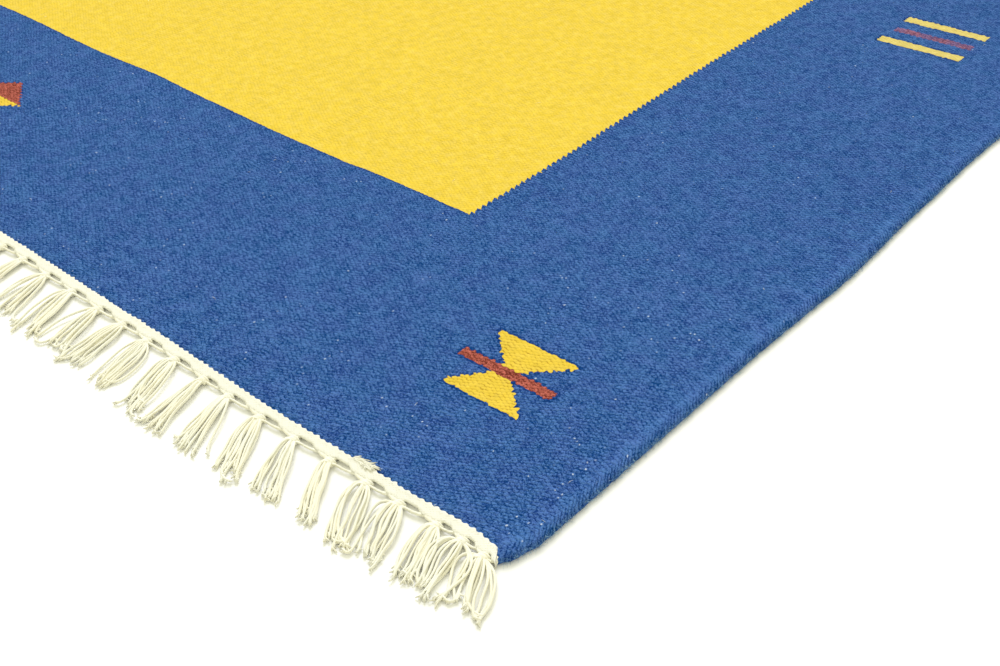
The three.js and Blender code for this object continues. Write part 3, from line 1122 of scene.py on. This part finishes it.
def wool_material():
    """Weft-faced wool: loops over the cotton warps, in the rug's colours."""
    net = Net("kilim_wool")
    place = net.place()
    u, v = weave_place(net, place)
    height, (centre_u, centre_v, from_centre), chance = nearest_loop(net, u, v)
    mark_u = net.choose(ACROSS_LOOPS, centre_u, u)
    mark_v = net.choose(ACROSS_LOOPS, centre_v, v)
    field, seam = field_share(net, mark_u, mark_v, v)
    yellows, reds, bars, red_line = marks(net, mark_u, mark_v)
    outline = net.either(*marks(net, mark_u, mark_v, OUTLINE)[:3])
    cream = LENGTH / 2 - net.absolute(centre_v) < -CREAM_BEYOND

    fibres = net.noise(place, 0.9, 3, 0.7)
    clumps = net.noise(place, 2.0, 2, 0.6)
    patches = net.noise(place, 16, 2)
    clouds = net.noise(place, 8, 3)
    # Loop tops are painted lighter and the pores between the loops darker: painted highlight and
    # painted shade.
    loop_top_light = net.ramp(height, 0.0, 0.75)
    texture = wool_texture(net, place, loop_top_light, chance, fibres, clumps, patches)
    # The top of the rolled selvedge is painted lighter: a painted highlight.
    from_ridge = net.absolute(net.absolute(u) - (WIDTH / 2 - RIDGE_IN))
    ridge_highlight = net.ramp(from_ridge, 0, RIDGE_REACH, 1, 0)
    shade = SHADE + texture + BY_RIDGE_HIGHLIGHT * ridge_highlight - BY_SEAM * seam
    soft_light = (0.92 + 0.12 * loop_top_light) * (1 + 0.1 * texture) * (1 + 0.3 * (clouds[0] - 0.5))

    colour = blue_wool(net, shade - BY_OUTLINE * outline, patches, clumps)
    colour = net.choose(lint(net, place, v, chance, from_centre), colour, LINT, "RGBA")
    # The hollows between the loops are painted deeper: painted shade.
    hollow_shade = net.ramp(loop_top_light + 0.5 * (clumps[1] - 0.5), 0, 0.6, 1, 0)
    loose = 1.0 * (fibres[1] - 0.45) + 0.9 * (clouds[1] - 0.45)
    for share, dye in ((field, YELLOW), (yellows, MOTIF_YELLOW), (bars, BAR_YELLOW)):
        yellow = yellow_wool(net, dye, hollow_shade, loose, soft_light)
        colour = net.choose(share, colour, yellow, "RGBA")
    red = net.choose(shade, *RED, "RGBA")
    colour = net.choose(reds, colour, red, "RGBA")
    faded = net.ramp(patches[2] + 0.5 * (clumps[1] - 0.5), 0.3, 0.7, 0.4, 0.66)
    colour = net.choose(red_line * faded, colour, red, "RGBA")
    colour = net.choose(cream, colour, net.tint(CREAM, soft_light), "RGBA")

    normal = wool_relief(net, height, net.either(field, yellows, bars), fibres, clumps)
    return net.finish(colour, normal, Roughness=0.95, Specular_IOR_Level=0.03)


def yarn_material():
    """Soft plied cotton, with the twist of its two plies."""
    net = Net("plied_cotton")
    round_x, round_y, along = net.mark("strand")
    place = net.place()
    turn = net.math("ARCTAN2", round_y, round_x)
    ply = net.math("SINE", turn * 2 + along * (TURN * 2 / PLY_TURN))
    fibres = net.noise(place, 0.8, 3, 0.6)
    patches = net.noise(place, 18, 2)
    groove = net.ramp(ply, -1, 0.2)
    # The grooves between the plies are painted a little darker: painted shade.
    light = 0.97 + 0.03 * groove + 0.14 * (fibres[0] - 0.5) + 0.08 * (patches[0] - 0.5)
    warm = net.ramp(patches[1], 0.35, 0.65)
    colour = net.choose(warm, CREAM, WARM_CREAM, "RGBA")
    normal = net.bump(0.35 * groove + 0.6 * fibres[0], 0.4, 0.6)
    return net.finish(net.tint(colour, light), normal, Roughness=0.9, Specular_IOR_Level=0.1)


def band_material():
    """Cotton plain weave."""
    net = Net("woven_cotton")
    u, v, _ = net.mark("weave")
    place = net.place()
    fine = net.noise(place, 1.5, 2)
    rib = net.math("SINE", (u + 1.2 * (fine[0] - 0.5)) * (TURN / WARP_PITCH))
    pick = net.math("SINE", (v + 1.2 * (fine[1] - 0.5)) * (TURN / PICK_PITCH))
    woven = rib * pick
    fibres = net.noise(place, 0.7, 3, 0.6)[2]
    mottle = net.noise(place, 4, 3)[1]
    # The weave's raised parts are painted slightly lighter and its low parts slightly darker:
    # painted shade.
    light = 0.95 + 0.015 * woven + 0.22 * (fibres - 0.5) + 0.2 * (mottle - 0.5)
    normal = net.bump(0.2 * woven + 0.9 * fibres + 0.8 * mottle, 0.6, 0.8)
    return net.finish(net.tint(CREAM, light), normal, Roughness=0.9, Specular_IOR_Level=0.2)


def fuzz_material():
    net = Net("wool_fuzz")
    shade = net.noise(net.place(), 3, 1)[0]
    colour = net.choose(net.ramp(shade, 0.35, 0.65), *FUZZ, "RGBA")
    return net.finish(colour, None, Roughness=0.95, Specular_IOR_Level=0.15)


def floor_material():
    net = Net("pale_floor")
    shade = net.noise(net.place(), 300, 2)[0]
    colour = net.choose(shade, *FLOOR, "RGBA")
    return net.finish(colour, None, Roughness=0.9, Specular_IOR_Level=0.1)


# Floor, light and camera


def make_stage():
    mesh = bpy.data.meshes.new("floor")
    square = ((-1, -1), (1, -1), (1, 1), (-1, 1))
    corners = [(FLOOR_REACH * x, FLOOR_REACH * y, FLOOR_LOW) for x, y in square]
    mesh.from_pydata(corners, [], [(0, 1, 2, 3)])
    mesh.materials.append(floor_material())
    floor = bpy.data.objects.new("floor", mesh)
    bpy.context.scene.collection.objects.link(floor)


def make_light():
    world = bpy.data.worlds.new("soft_room")
    world.use_nodes = True
    sky = world.node_tree.nodes["Background"]
    sky.inputs["Color"].default_value = ROOM_COLOUR
    sky.inputs["Strength"].default_value = ROOM_STRENGTH
    bpy.context.scene.world = world
    sun = bpy.data.lights.new("window", "SUN")
    sun.color = WINDOW_COLOUR
    sun.energy = WINDOW_STRENGTH
    sun.angle = math.radians(WINDOW_WIDTH)
    lamp = bpy.data.objects.new("window", sun)
    lamp.rotation_euler = (math.radians(WINDOW_TILT), 0, math.radians(WINDOW_TURN))
    bpy.context.scene.collection.objects.link(lamp)
    bpy.context.scene.view_settings.view_transform = "Standard"


def make_camera():
    data = bpy.data.cameras.new("camera")
    data.lens = CAMERA_LENS
    camera = bpy.data.objects.new("camera", data)
    turn = Matrix.Rotation(math.radians(CAMERA_AZIMUTH), 4, "Z")
    tilt = Matrix.Rotation(math.radians(90 - CAMERA_DOWN), 4, "X")
    roll = Matrix.Rotation(math.radians(CAMERA_ROLL), 4, "Z")
    camera.matrix_world = Matrix.Translation(CAMERA_PLACE) @ turn @ tilt @ roll
    bpy.context.scene.collection.objects.link(camera)
    bpy.context.scene.camera = camera


def make_rug():
    wool = wool_material()
    woven_cotton = band_material()
    plied_cotton = yarn_material()
    cloth = make_cloth(wool)
    pieces = []
    for end, turned, seed in ENDS:
        pieces.append(make_band(f"band_{end}", f"end_band_{end}", woven_cotton, turned))
        pieces += make_fringe(end, plied_cotton, turned, seed)
    pieces.append(make_fuzz(fuzz_material()))
    pieces.append(make_loose_fibres(plied_cotton))


make_camera()
make_light()
make_stage()
make_rug()
